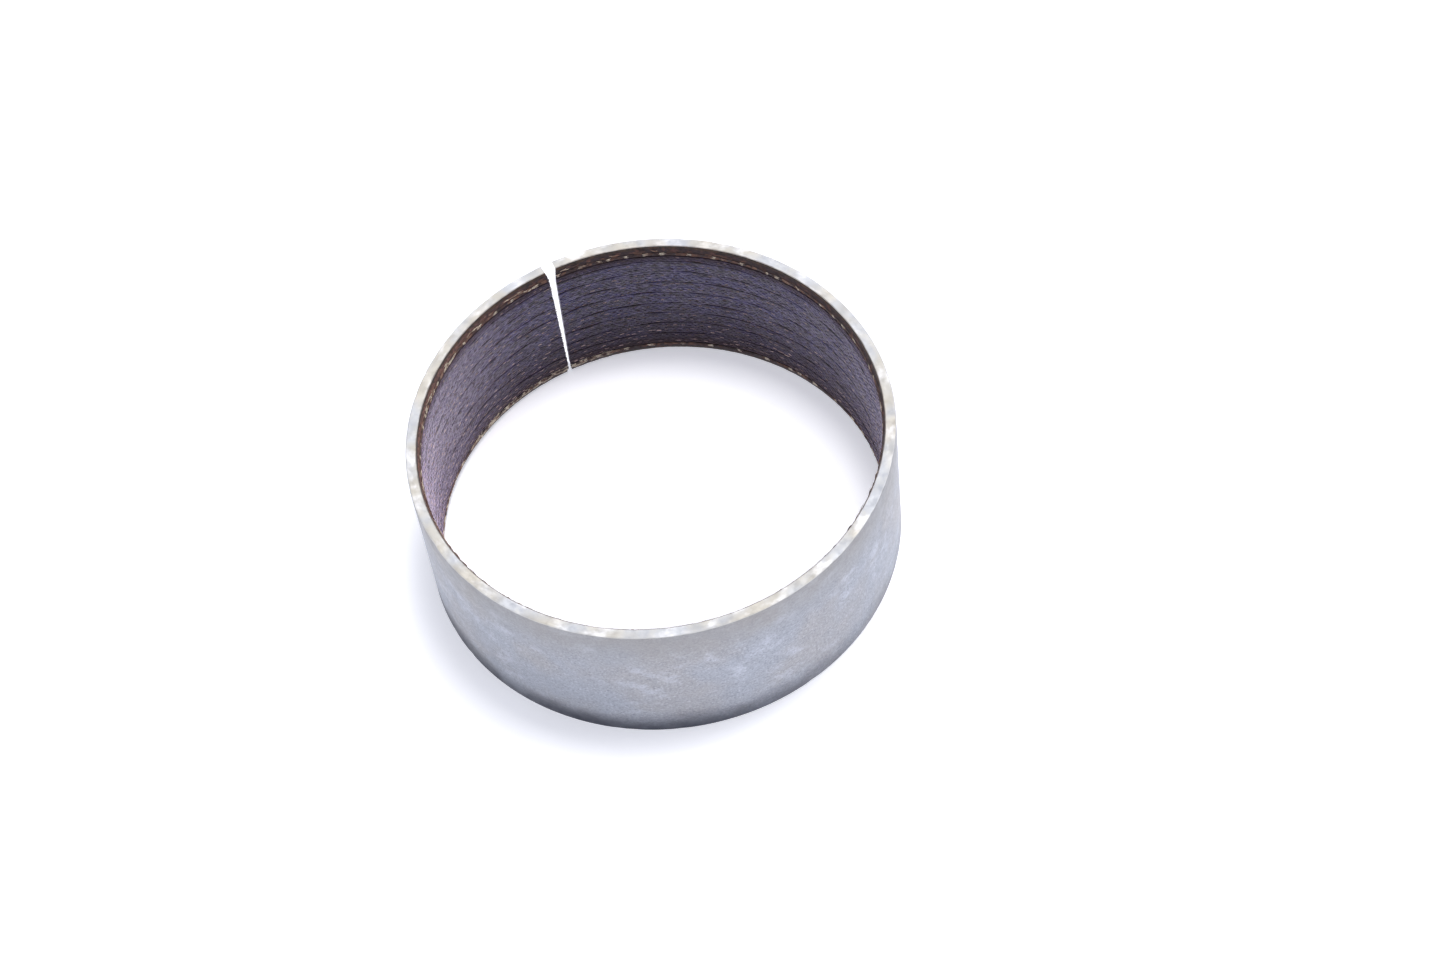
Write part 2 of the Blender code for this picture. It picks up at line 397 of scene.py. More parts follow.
class Bundle:
    """Closed strips and strands gathered in one mesh."""

    SIDES = 5

    def __init__(self):
        self.points = []
        self.faces = []
        self.strip = []
        self.shades = []

    def add_band(self, first, width, here, there, across):
        """Faces from a ring of points to the next ring, with their places on the strip map."""
        second = first + width
        for j in range(width):
            k = (j + 1) % width
            low, high = across[j], across[j + 1]
            self.faces.append((first + j, second + j, second + k, first + k))
            self.strip += [(here, low), (there, low), (there, high), (here, high)]

    def add_sweep(self, places, outline_at, shades_at=None):
        """A strip through outlines of (radius, height), one for each place along.

        An outline runs counterclockwise, and its first half lies across from its second half in reverse.
        """
        outlines = [outline_at(along) for along in places]
        width = len(outlines[0])
        middle = outlines[len(outlines) // 2]
        across = [middle[0][1] - distance for distance in distances_round(middle)]
        base = len(self.points)
        for along, outline in zip(places, outlines):
            self.points += [on_strip(along, *corner) for corner in outline]
            self.shades += shades_at(along) if shades_at else [1.0] * width
        for i in range(len(places) - 1):
            self.add_band(base + i * width, width, places[i], places[i + 1], across)
        last = base + (len(places) - 1) * width
        for j in range(width // 2 - 1):
            rung = (j, j + 1, width - 2 - j, width - 1 - j)
            self.faces.append(tuple(base + k for k in rung))
            self.strip += [(places[0] - outlines[0][k][0], outlines[0][k][1]) for k in rung]
            self.faces.append(tuple(last + k for k in reversed(rung)))
            self.strip += [(places[-1] + outlines[-1][k][0], outlines[-1][k][1]) for k in reversed(rung)]

    def add_strand(self, path, half_width, half_depth, shade, taper=True):
        """A strand through places on the strip, flattened against the wall and thin at its ends."""
        centres = [Vector(on_strip(*place)) for place in path]
        base = len(self.points)
        size = 1.0
        for i, centre in enumerate(centres):
            ahead = centres[min(i + 1, len(centres) - 1)] - centres[max(i - 1, 0)]
            outward = Vector((centre.x, centre.y, 0.0)).normalized()
            side = ahead.cross(outward).normalized()
            outward = side.cross(ahead).normalized()
            if taper:
                share = TAPER_MARGIN + (1 - 2 * TAPER_MARGIN) * i / (len(path) - 1)
                size = math.sin(math.pi * share) ** TAPER_POWER
            for j in range(self.SIDES):
                turn = math.tau * j / self.SIDES
                across = side * (half_width * size * math.cos(turn))
                self.points.append(centre + across + outward * (half_depth * size * math.sin(turn)))
                self.shades.append(shade)
        self.add_strand_faces(base, path, half_width)

    def add_strand_faces(self, base, path, half_width):
        sides = self.SIDES
        for i in range(len(path) - 1):
            here, _, height = path[i]
            across = [height + half_width * j for j in range(sides + 1)]
            self.add_band(base + i * sides, sides, here, path[i + 1][0], across)
        last = base + (len(path) - 1) * sides
        self.faces.append(tuple(base + j for j in range(sides)))
        self.faces.append(tuple(last + j for j in reversed(range(sides))))
        for along, _, height in (path[0], path[-1]):
            self.strip += [(along, height + half_width * j) for j in range(sides)]

    def mesh(self, name):
        mesh = bpy.data.meshes.new(name)
        mesh.from_pydata(self.points, [], self.faces)
        layer = mesh.uv_layers.new(name="strip")
        layer.data.foreach_set("uv", [value / MM for place in self.strip for value in place])
        shade = mesh.attributes.new("shade", "FLOAT", "POINT")
        shade.data.foreach_set("value", self.shades)
        mesh.shade_smooth()
        mesh.set_sharp_from_angle(angle=SMOOTH_ANGLE)
        return mesh


def sweep(places, outline_at):
    bundle = Bundle()
    bundle.add_sweep(places, outline_at)
    return bundle


def add_piece(name, bundle, material, slot, *nodes):
    mesh = bundle.mesh(name)
    mesh.materials.append(material)
    piece = bpy.data.objects.new(name, mesh)
    bpy.context.scene.collection.objects.link(piece)
    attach(piece, BODY)
    if nodes:
        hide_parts(*nodes)


# Shader building blocks


def new_material(name):
    material = bpy.data.materials.new(name)
    material.use_nodes = True
    return material, material.node_tree, material.node_tree.nodes["Principled BSDF"]


def set_values(node, values):
    for key, value in values.items():
        node.inputs[key].default_value = value


def add_node(tree, kind, links=None, values=None, **settings):
    node = tree.nodes.new(kind)
    for key, value in settings.items():
        setattr(node, key, value)
    set_values(node, values or {})
    for key, source in (links or {}).items():
        tree.links.new(source, node.inputs[key])
    return node


def grain(tree, scale, along=1.0, across=1.0, turn=0.0, detail=3.0, roughness=0.55):
    """Noise on the strip map, which is scaled along and across the strip and then turned."""
    place = add_node(tree, "ShaderNodeUVMap", uv_map="strip")
    values = {"Rotation": (0.0, 0.0, turn), "Scale": (along, across, 1.0)}
    mapping = add_node(tree, "ShaderNodeMapping", {"Vector": place.outputs["UV"]}, values)
    values = {"Scale": scale, "Detail": detail, "Roughness": roughness}
    node = add_node(tree, "ShaderNodeTexNoise", {"Vector": mapping.outputs["Vector"]}, values)
    return node.outputs["Fac"]


def between(tree, value, low, high, to_low=0.0, to_high=1.0):
    """A smooth step from to_low to to_high, as a value goes from low to high."""
    values = {"From Min": low, "From Max": high, "To Min": to_low, "To Max": to_high}
    node = add_node(tree, "ShaderNodeMapRange", {"Value": value}, values, interpolation_type="SMOOTHSTEP")
    return node.outputs["Result"]


def math_node(tree, operation, first, second=None):
    """The result of an operation on sockets or numbers."""
    node = add_node(tree, "ShaderNodeMath", operation=operation)
    for socket, value in zip(node.inputs, (first, second)):
        if isinstance(value, (int, float)):
            socket.default_value = value
        elif value is not None:
            tree.links.new(value, socket)
    return node.outputs["Value"]


def product(tree, first, *others):
    """Sockets or numbers multiplied together."""
    result = first
    for other in others:
        result = math_node(tree, "MULTIPLY", result, other)
    return result


def mix(tree, factor, first, second):
    """A colour between two, which are sockets or (red, green, blue)."""
    node = add_node(tree, "ShaderNodeMix", data_type="RGBA", links={0: factor})
    for socket, colour in ((node.inputs[6], first), (node.inputs[7], second)):
        if isinstance(colour, tuple):
            socket.default_value = (*colour, 1.0)
        else:
            tree.links.new(colour, socket)
    return node.outputs[2]


def bump(tree, height, strength, distance):
    values = {"Strength": strength, "Distance": distance}
    return add_node(tree, "ShaderNodeBump", {"Height": height}, values).outputs["Normal"]


def finish_material(tree, shader, colour, texture, roughness, strength, distance):
    """Links a colour, and the roughness and bumps that follow a texture."""
    tree.links.new(colour, shader.inputs["Base Color"])
    tree.links.new(between(tree, texture, 0.3, 0.7, *roughness), shader.inputs["Roughness"])
    tree.links.new(bump(tree, texture, strength, distance), shader.inputs["Normal"])


def place_on_object(tree):
    return add_node(tree, "ShaderNodeTexCoord").outputs["Object"]


def height_on_object(tree):
    split = add_node(tree, "ShaderNodeSeparateXYZ", links={"Vector": place_on_object(tree)})
    return split.outputs["Z"]


def vector_math(tree, operation, first, second=None):
    """A vector operation on a socket and, where there is a second, on it or on a fixed (x, y, z)."""
    node = add_node(tree, "ShaderNodeVectorMath", operation=operation, links={0: first})
    if isinstance(second, tuple):
        node.inputs[1].default_value = second
    elif second is not None:
        tree.links.new(second, node.inputs[1])
    return node.outputs["Value" if operation in ("DOT_PRODUCT", "LENGTH") else "Vector"]


def from_axis(tree):
    """The vector straight out from the bore's axis to the place on the object."""
    return vector_math(tree, "MULTIPLY", place_on_object(tree), FLAT)


def outward_on_object(tree):
    """The direction straight out from the bore's axis."""
    return vector_math(tree, "NORMALIZE", from_axis(tree))


def turned_to(tree, side):
    """1 on the part of the ring that lies towards a side, -1 across from it."""
    return vector_math(tree, "DOT_PRODUCT", outward_on_object(tree), side)


def worn_and_sheen_side(tree):
    """How worn the liner is round the bore, and how much painted sheen it carries there."""
    return between(tree, turned_to(tree, WORN_AND_SHEEN_SIDE), *WORN_AND_SHEEN_SPAN)


def near_ends(tree, height, start, end):
    """How far a height has come from start to end, both measured from the nearer end of the sleeve."""
    distance = math_node(tree, "ABSOLUTE", math_node(tree, "SUBTRACT", height, LENGTH / 2))
    return between(tree, distance, LENGTH / 2 - start, LENGTH / 2 - end)


def facing(tree, direction):
    """1 where the surface faces along a direction or against it, 0 where it lies across it."""
    normal = add_node(tree, "ShaderNodeNewGeometry").outputs["Normal"]
    along = vector_math(tree, "DOT_PRODUCT", normal, direction)
    return between(tree, math_node(tree, "ABSOLUTE", along), *FACING_SPAN)


def shade_of(tree):
    return add_node(tree, "ShaderNodeAttribute", attribute_name="shade").outputs["Fac"]


def fibres_of(tree, lengthwise, crosswise):
    """Fine twisted fibres that lie a little across the yarn."""
    return grain(tree, scale=1.0, along=lengthwise, across=crosswise, turn=TWIST_ANGLE)


# Materials


def wall_colour(tree):
    """Grey plate: warm and bluish clouds, pale scuffs in clusters and fine grain, darker under the rim,
    with grime and painted shade along the lower edge.
    """
    clouds = grain(tree, scale=0.11)
    patches = grain(tree, scale=0.5, detail=4.0, roughness=0.6)
    clusters = grain(tree, scale=0.13, detail=2.0)
    scuffs = grain(tree, scale=0.55, along=0.7, detail=4.0, roughness=0.62)
    speckle = grain(tree, scale=3.6, detail=4.0, roughness=0.7)
    height = height_on_object(tree)
    colour = mix(tree, between(tree, clouds, 0.38, 0.62), PLATE_WARM, PLATE_BLUISH)
    colour = mix(tree, between(tree, patches, 0.34, 0.60, 0.3, 0.0), colour, PLATE_DULL)
    scuffed = product(tree, between(tree, clusters, 0.42, 0.60), between(tree, scuffs, 0.46, 0.68), 0.42)
    colour = mix(tree, scuffed, colour, PLATE_SCUFF)
    colour = mix(tree, between(tree, speckle, 0.30, 0.52, 0.65, 0.0), colour, PLATE_DARK_GRAIN)
    colour = mix(tree, between(tree, speckle, 0.50, 0.74, 0.0, 0.65), colour, PLATE_BRIGHT_GRAIN)
    sets_in, full = DARK_BAND_UNDER_RIM
    under_rim = between(tree, height, LENGTH - sets_in, LENGTH - full, 0.0, 0.6)
    colour = mix(tree, under_rim, colour, PLATE_UNDER_RIM)
    # Grime and painted shade along the lower edge, deepest on the side in shade
    return mix(tree, lower_grime_and_shade(tree, height, clouds), colour, PLATE_GRIME_AND_SHADE)


def lower_grime_and_shade(tree, height, clouds):
    """How dark the lower edge is, with grime and painted shade: most on the side where the shade is
    deepest.
    """
    most = between(tree, turned_to(tree, GRIME_AND_SHADE_SIDE), -0.3, 0.8, 0.30, 0.97)
    lift = between(tree, clouds, 0.3, 0.7, -GRIME_AND_SHADE_UNEVENNESS, GRIME_AND_SHADE_UNEVENNESS)
    uneven = math_node(tree, "ADD", height, lift)
    return product(tree, most, between(tree, uneven, 0.0, GRIME_AND_SHADE_HEIGHT, 1.0, 0.0))


def rim_colour(tree):
    """Cut end faces: cream to white, with worn patches and resin smeared along the liner."""
    patches = grain(tree, scale=0.45, detail=4.0, roughness=0.62)
    tints = grain(tree, scale=0.22, detail=2.0)
    bright = grain(tree, scale=0.6, along=0.7)
    colour = mix(tree, between(tree, tints, 0.35, 0.65), RIM_CREAM, RIM_BLUISH)
    colour = mix(tree, between(tree, patches, 0.30, 0.56, 0.5, 0.0), colour, RIM_WORN)
    colour = mix(tree, between(tree, bright, 0.48, 0.72, 0.0, 0.8), colour, RIM_BRIGHT)
    radius = vector_math(tree, "LENGTH", from_axis(tree))
    by_liner = between(tree, radius, STEEL_INNER, STEEL_INNER + RESIN_SMEAR, 0.85, 0.0)
    smear = product(tree, by_liner, between(tree, patches, 0.35, 0.55, 0.3, 1.0))
    return mix(tree, smear, colour, RIM_SMEAR)


def plated_steel():
    """Plated strip: its walls, its paler and rougher end faces, and its bright edges at the split, whose
    near white is partly a painted highlight.
    """
    material, tree, shader = new_material("plated_steel")
    on_rim = facing(tree, UP)
    on_wall = facing(tree, outward_on_object(tree))
    # Sheared faces take the near white of the painted highlight
    cut = mix(tree, on_rim, SHEARED_STEEL_PAINTED_HIGHLIGHT, rim_colour(tree))
    colour = mix(tree, on_wall, cut, wall_colour(tree))
    wear = grain(tree, scale=0.9, detail=5.0, roughness=0.65)
    roughness = product(
        tree,
        between(tree, wear, 0.25, 0.75, 0.36, 0.58),
        between(tree, on_rim, 0.0, 1.0, 1.0, 1.75),
        between(tree, math_node(tree, "ADD", on_rim, on_wall), 0.0, 0.8, 0.15, 1.0),
    )
    fine = grain(tree, scale=9.0, along=0.6, detail=4.0, roughness=0.65)
    shader.inputs["Metallic"].default_value = 0.8
    tree.links.new(colour, shader.inputs["Base Color"])
    tree.links.new(roughness, shader.inputs["Roughness"])
    tree.links.new(bump(tree, fine, strength=0.16, distance=0.00002), shader.inputs["Normal"])
    return material


def bond_resin():
    """Cured resin: dark reddish brown, glossy in places."""
    material, tree, shader = new_material("bond_resin")
    mottle = grain(tree, scale=1.6, detail=5.0, roughness=0.6)
    colour = mix(tree, between(tree, mottle, 0.35, 0.7), RESIN_DARK, RESIN_BROWN)
    finish_material(tree, shader, colour, mottle, (0.38, 0.65), strength=0.5, distance=0.00004)
    return material


def ground_cloth():
    """Resin-soaked cloth: nearly black purple in the grooves, with brown threads along the bevel."""
    material, tree, shader = new_material("ground_cloth")
    threads = grain(tree, scale=2.2, across=3.0, detail=4.0)
    stains = grain(tree, scale=0.9, across=1.6)
    colour = mix(tree, between(tree, threads, 0.36, 0.66), CLOTH_DARK, CLOTH_BROWN)
    colour = mix(tree, between(tree, stains, 0.50, 0.62, 0.0, 0.7), colour, CLOTH_STAIN)
    on_bevel = near_ends(tree, height_on_object(tree), *CLOTH_WORN_SPAN)
    worn = product(tree, worn_and_sheen_side(tree), between(tree, threads, 0.38, 0.60, 0.1, 0.8), on_bevel)
    colour = mix(tree, worn, colour, CLOTH_WORN)
    finish_material(tree, shader, colour, threads, (0.5, 0.8), strength=0.6, distance=0.00005)
    return material


def surface_yarn():
    """Slate yarn with a lilac sheen: floats of many tones, darker and redder towards the lower end,
    partly stained and partly painted shade.

    On the worn side it is glossier and paler in specks, a paler colour that is partly wear and partly
    painted sheen; at the ends it is stained and dull.
    """
    material, tree, shader = new_material("surface_yarn")
    fibres = fibres_of(tree, lengthwise=1.6, crosswise=9.0)
    specks = grain(tree, scale=2.2, along=0.6, detail=4.0, roughness=0.65)
    tone = grain(tree, scale=0.7, along=0.5, detail=4.0)
    height = height_on_object(tree)
    polish_and_sheen = worn_and_sheen_side(tree)
    by_end = near_ends(tree, height, *YARN_STAIN_SPAN)
    colour = mix(tree, shade_of(tree), YARN_DEEP, YARN_SLATE)
    colour = mix(tree, between(tree, tone, 0.46, 0.60, 0.0, 0.65), colour, YARN_BLUE)
    colour = mix(tree, between(tree, specks, 0.34, 0.50, 0.85, 0.0), colour, YARN_DARK_SPECK)
    colour = mix(tree, between(tree, specks, 0.52, 0.66, 0.0, 0.7), colour, YARN_LIGHT_SPECK)
    colour = mix(tree, between(tree, fibres, 0.45, 0.70, 0.0, 0.5), colour, YARN_FIBRE)
    # Paler specks on the worn side: wear, and painted sheen where the wall looks lit at a glancing view
    bared_and_sheen = product(tree, polish_and_sheen, between(tree, specks, 0.40, 0.60, 0.35, 1.0))
    colour = mix(tree, bared_and_sheen, colour, YARN_BARED_AND_SHEEN)
    # Darker and redder downwards: staining and painted shade, less on the worn side
    lowest, highest = YARN_DARK_SPAN
    low_stain_and_shade = between(tree, height, LENGTH * lowest, LENGTH * highest, 0.80, 0.0)
    low_stain_and_shade = product(tree, low_stain_and_shade, between(tree, polish_and_sheen, 0.0, 1.0, 1.0, 0.5))
    colour = mix(tree, low_stain_and_shade, colour, YARN_LOW_STAIN_AND_SHADE)
    stain = product(tree, by_end, between(tree, tone, 0.25, 0.6, 0.3, 0.85))
    colour = mix(tree, stain, colour, YARN_STAIN)
    gloss = product(
        tree,
        between(tree, height, 0.0, LENGTH * YARN_GLOSSY_ABOVE, 0.25, 1.0),
        between(tree, by_end, 0.0, 1.0, 1.0, 0.2),
        between(tree, specks, 0.35, 0.60, 0.55, 1.1),
        between(tree, polish_and_sheen, 0.0, 1.0, 0.9, 1.25),
    )
    tree.links.new(gloss, shader.inputs["Coat Weight"])
    set_values(shader, {"Coat Roughness": 0.16, "Specular IOR Level": 0.15})
    set_values(shader, {"Sheen Weight": 1.0, "Sheen Roughness": 0.30, "Sheen Tint": (*YARN_SHEEN, 1.0)})
    finish_material(tree, shader, colour, fibres, (0.34, 0.52), strength=0.5, distance=0.00003)
    return material


def stitch_yarn():
    """Tan and pinkish stitches, some bright and some soaked dark."""
    material, tree, shader = new_material("stitch_yarn")
    fibres = fibres_of(tree, lengthwise=3.0, crosswise=14.0)
    colour = mix(tree, between(tree, shade_of(tree), 0.0, 1.0), STITCH_SOAKED, STITCH_PINK)
    colour = mix(tree, between(tree, fibres, 0.45, 0.75, 0.0, 0.35), colour, STITCH_FIBRE)
    finish_material(tree, shader, colour, fibres, (0.5, 0.75), strength=0.4, distance=0.00003)
    return material


def edge_yarn():
    """Binding yarn: cream where it comes up, reddish brown where resin covers it."""
    material, tree, shader = new_material("edge_yarn")
    fibres = fibres_of(tree, lengthwise=2.5, crosswise=12.0)
    soaked = grain(tree, scale=0.9)
    dry = product(
        tree,
        shade_of(tree),
        between(tree, fibres, 0.25, 0.6, 0.7, 1.0),
        between(tree, soaked, 0.35, 0.6, 0.6, 1.15),
    )
    colour = mix(tree, between(tree, dry, 0.02, 0.40), EDGE_DARK, EDGE_BROWN)
    colour = mix(tree, between(tree, dry, 0.34, 0.75), colour, EDGE_CREAM)
    finish_material(tree, shader, colour, fibres, (0.5, 0.75), strength=0.5, distance=0.00003)
    return material


# Pieces


def arc(centre, radius, first, last, points):
    turns = [first + (last - first) * i / (points - 1) for i in range(points)]
    return [(centre[0] + radius * math.cos(t), centre[1] + radius * math.sin(t)) for t in turns]


def steel_outline():
    """The strip's section, counterclockwise from its lower outer corner."""
    corner = STEEL_CORNER
    inner = STEEL_INNER_BREAK
    points = STEEL_CORNER_POINTS
    quarter = math.pi / 2
    low_round = arc((STEEL_OUTER - corner, corner), corner, -quarter, 0.0, points)
    high_round = arc((STEEL_OUTER - corner, LENGTH - corner), corner, 0.0, quarter, points)
    high_break = arc((STEEL_INNER + inner, LENGTH - inner), inner, quarter, 2 * quarter, points)
    low_break = arc((STEEL_INNER + inner, inner), inner, 2 * quarter, 3 * quarter, points)
    step = (LENGTH - 2 * corner) / (STEEL_WALL_ROWS + 1)
    rows = [corner + step * (i + 1) for i in range(STEEL_WALL_ROWS)]
    outer_wall = [(STEEL_OUTER, height) for height in rows]
    inner_wall = [(STEEL_INNER, height) for height in reversed(rows)]
    return low_round + outer_wall + high_round + high_break + inner_wall + low_break


def steel_nicks(draw):
    """Small dents along the two outer corners: place along, height, half length and depth of each."""
    return [
        (
            STRIP_LENGTH * draw.random(),
            LENGTH if draw.random() < NICK_UPPER_SHARE else 0.0,
            draw.uniform(*NICK_HALF_LENGTH),
            NICK_DEPTH * draw.uniform(*NICK_STRENGTH),
        )
        for _ in range(NICK_COUNT)
    ]


def nick_depth(nicks, along, height):
    depth = 0.0
    for at, end, half, deep in nicks:
        away = (along - at) / half
        if abs(away) < NICK_REACH and abs(height - end) < NICK_REACH * STEEL_CORNER:
            depth += deep * math.exp(-(away ** 2) - ((height - end) / STEEL_CORNER) ** 2)
    return depth


def build_backing(draw):
    """The steel strip, whose outer wall waves a little and is nicked along its corners."""
    outline = steel_outline()
    nicks = steel_nicks(draw)
    middle = (STEEL_INNER + STEEL_OUTER) / 2

    def worn(along):
        section = []
        for radius, height in outline:
            wave = 0.5 + 0.5 * noise.noise(Vector(on_strip(along, radius, height)) / STEEL_WAVE_SIZE)
            inward = STEEL_WAVE_DEPTH * wave + nick_depth(nicks, along, height)
            section.append((radius - inward if radius > middle else radius, height))
        return section

    strip = sweep(stations(STEEL_STEPS), worn)
    add_piece("plated_backing", strip, plated_steel(), "plated_steel", "steel_backing")


def ragged_ends(along, raggedness, row):
    """How far a layer's lower and upper end are torn back at a place along."""
    return [raggedness * abs(ripple(along, row + i, RAG_SIZE)) for i in range(2)]


def build_resin():
    """The resin film, with a bead squeezed up towards the rim at both ends."""
    low = RESIN_SHY_OF_RIM
    high = LENGTH - RESIN_SHY_OF_RIM

    def film(along):
        lower, upper = ragged_ends(along, RESIN_RAGGEDNESS, RESIN_ROW)
        return [
            (FILM_OUTER, low + lower),
            (FILM_OUTER, high - upper),
            (FILM_INNER, FILM_HIGH - upper),
            (FILM_INNER, FILM_LOW + lower),
        ]

    add_piece("resin_film", sweep(stations(STEEL_STEPS), film), bond_resin(), "bond_resin", "bond_film")


def build_cloth():
    """The ground cloth, cut to a ragged bevel at both ends."""
    def layer(along):
        lower, upper = ragged_ends(along, CLOTH_RAGGEDNESS, CLOTH_ROW)
        return [
            (CLOTH_OUTER, CLOTH_LOW + lower),
            (CLOTH_OUTER, CLOTH_HIGH - upper),
            (CLOTH_INNER, LENGTH - BEVEL_INNER_END - upper),
            (CLOTH_INNER, BEVEL_INNER_END + lower),
        ]

    cloth = sweep(stations(2 * STEEL_STEPS), layer)
    add_piece("cloth_layer", cloth, ground_cloth(), "ground_cloth", "liner_ground_cloth")


def dip_places(strand, draw):
    """Where a strand dips: staggered from strand to strand and a little uneven."""
    count = int(STRIP_LENGTH / FLOAT_LENGTH)
    pitch = STRIP_LENGTH / count
    stagger = 0.25 + 0.5 * (strand % 2) + draw.uniform(-FLOAT_JITTER, FLOAT_JITTER)
    dips = [pitch * (k + stagger + draw.uniform(-FLOAT_JITTER, FLOAT_JITTER)) for k in range(count)]
    return sorted(dips)


def crown_at(along, dips):
    """0 in a dip and 1 in the middle of a float."""
    after = bisect.bisect(dips, along)
    left = dips[after - 1] if after > 0 else dips[0] - FLOAT_LENGTH
    right = dips[after] if after < len(dips) else dips[-1] + FLOAT_LENGTH
    return max(0.0, math.sin(math.pi * (along - left) / (right - left)))


def row_groove(row, along):
    """The groove under a row: it wanders, comes and goes."""
    kind = SHALLOW_GROOVE if row % 2 else DEEP_GROOVE
    outermost = row in (0, len(SURFACE_YARNS))
    wander = 0.0 if outermost else ROW_WANDER * ripple(along, row + WANDER_ROW, WANDER_SIZE)
    opening = 0.5 + 0.5 * ripple(along, row, GROOVE_FADE)
    return kind._replace(
        height=GROOVE_HEIGHTS[row] + wander,
        depth=kind.depth * (GROOVE_SHALLOWEST + (1 - GROOVE_SHALLOWEST) * opening),
        stain=kind.stain * opening,
        gap=kind.gap * opening,
    )


def strand_groove(strand, along):
    """The groove under a strand, counted up from the lowest strand of the lowest row."""
    row, place = divmod(strand, STRANDS_PER_ROW)
    below = row_groove(row, along)
    if place == 0:
        return below
    above = row_groove(row + 1, along)
    low = below.height + below.gap / 2
    high = above.height - above.gap / 2
    wander = STRAND_WANDER * ripple(along, strand + STRAND_ROW, WANDER_SIZE)
    return STRAND_GROOVE._replace(height=low + (high - low) * place / STRANDS_PER_ROW + wander)


def rounded_side(groove, edge, inward, thickness):
    """A strand's side from its edge in a groove to its full thickness; inward is 1 or -1."""
    side = []
    for i in range(ROUNDING_POINTS):
        turn = math.pi / 2 * i / (ROUNDING_POINTS - 1)
        sunk = groove.depth * (1 - math.sin(turn))
        aside = groove.width * (1 - math.cos(turn))
        side.append((YARN_SEAT - thickness * (1 - sunk), edge + inward * aside))
    return side


def strand_section(strand, along, thickness):
    """A strand's section on its seat, rounded off down into its two grooves."""
    below = strand_groove(strand, along)
    above = strand_groove(strand + 1, along)
    low = below.height + below.gap / 2 + ROW_CLEARANCE
    high = above.height - above.gap / 2 - ROW_CLEARANCE
    upper = rounded_side(above, high, -1, thickness)
    lower = rounded_side(below, low, 1, thickness)
    return [(YARN_SEAT, high), *upper, *lower[::-1], (YARN_SEAT, low)]


def strand_shades(strand, along, tone):
    """A float's tone at each corner of its section, darker towards the grooves as painted shade."""
    # Darkness towards the grooves is painted shade
    below = strand_groove(strand, along).stain
    above = strand_groove(strand + 1, along).stain
    corners = 2 * ROUNDING_POINTS + 2
    shares = [i / (corners - 1) for i in range(corners)]
    return [tone * (1 - above * (1 - share)) * (1 - below * share) for share in shares]


def add_yarn_strand(bundle, strand, draw):
    """A strand whose floats rise between its dips, each with its own tone; returns its dips."""
    dips = dip_places(strand, draw)
    tones = [draw.uniform(*FLOAT_TONE) for _ in range(len(dips) + 1)]

    def section(along):
        swing = FULLNESS_SWING * ripple(along, strand + FULLNESS_ROW, 2 * FLOAT_LENGTH)
        fullness = 1 - FULLNESS_SWING + swing
        rise = DIP_THICKNESS + (1 - DIP_THICKNESS) * crown_at(along, dips)
        return strand_section(strand, along, YARN_THICKNESS * fullness * rise)

    def shades(along):
        # Each float's tone, darkened towards its dips as painted shade
        tone = tones[bisect.bisect(dips, along)] * (DIP_PAINTED_SHADE + (1 - DIP_PAINTED_SHADE) * crown_at(along, dips))
        return strand_shades(strand, along, tone)

    bundle.add_sweep(stations(STEPS_PER_FLOAT * len(dips)), section, shades)
    return dips


def build_surface_yarn(row, node, material, draw):
    """A row of yarn; returns the dips of its middle strand, where stitches come up."""
    bundle = Bundle()
    first = STRANDS_PER_ROW * row
    dips = [add_yarn_strand(bundle, first + place, draw) for place in range(STRANDS_PER_ROW)]
    add_piece("woven_" + node, bundle, material, "surface_yarn", node)
    return dips[STRANDS_PER_ROW // 2]


def seat_radius(height):
    """Radius of the face that strands lie on, which falls away along the cloth's bevels."""
    from_end = min(height, LENGTH - height)
    share = (BEVEL_INNER_END - from_end) / (BEVEL_INNER_END - CLOTH_LOW)
    return YARN_SEAT + (CLOTH_OUTER - CLOTH_INNER) * min(max(share, 0.0), 1.0)


def arched_path(middle, length, height, rise, lean, points=ARCH_POINTS):
    """Places of a short strand that comes up off its seat and arches over, kept on the strip."""
    middle = min(max(middle, length / 2), STRIP_LENGTH - length / 2)
    path = []
    for i in range(points):
        share = i / (points - 1)
        lift = rise * math.sin(math.pi * (ARCH_MARGIN + (1 - 2 * ARCH_MARGIN) * share))
        here = height + lean * (share - 0.5)
        path.append((middle + length * (share - 0.5), seat_radius(here) - lift, here))
    return path


def add_stitch(bundle, dip, height, shade, stretch, draw):
    """A few fibres side by side that come up in a dip, with a stretch of their length."""
    for _ in range(STITCH_FIBRES):
        length = stretch * draw.uniform(*STITCH_LENGTH)
        aside = height + STITCH_SPREAD * draw.uniform(-1.0, 1.0)
        lean = STITCH_SPREAD * draw.uniform(-1.0, 1.0)
        rise = YARN_THICKNESS * draw.uniform(*STITCH_RISE)
        path = arched_path(dip, length, aside, rise, lean, STITCH_POINTS)
        tone = shade * draw.uniform(*STITCH_TONE)
        bundle.add_strand(path, STITCH_HALF_WIDTH, STITCH_HALF_DEPTH, tone)


